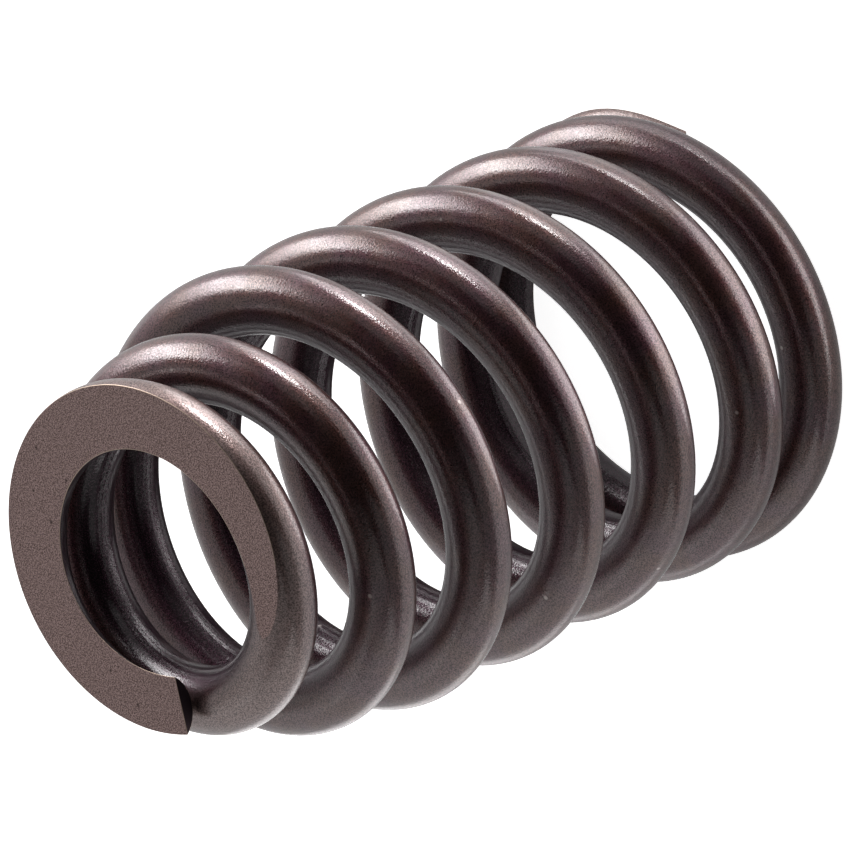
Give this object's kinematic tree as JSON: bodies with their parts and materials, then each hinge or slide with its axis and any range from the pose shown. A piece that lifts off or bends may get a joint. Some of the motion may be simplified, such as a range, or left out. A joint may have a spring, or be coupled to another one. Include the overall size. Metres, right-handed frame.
{
  "type": "valve spring",
  "caption": "Beehive compression spring for an engine valve: oval wire coiled right-handed into a barrel that narrows to a small end, with both ends closed and ground flat.",
  "frame": {"origin": "centre of the large ground end, on its flat face, where the coil's axis meets it", "axes": "+Z along the coil's axis from the large end to the small end; +X towards the wire's tip at the large end"},
  "size_m": [0.0299, 0.0299, 0.049],
  "materials": {
    "spring_steel": "oil tempered and shot peened, dark brown, satin"
  },
  "bodies": {
    "root": {"valve_spring": "spring_steel"}
  },
  "joints": []
}
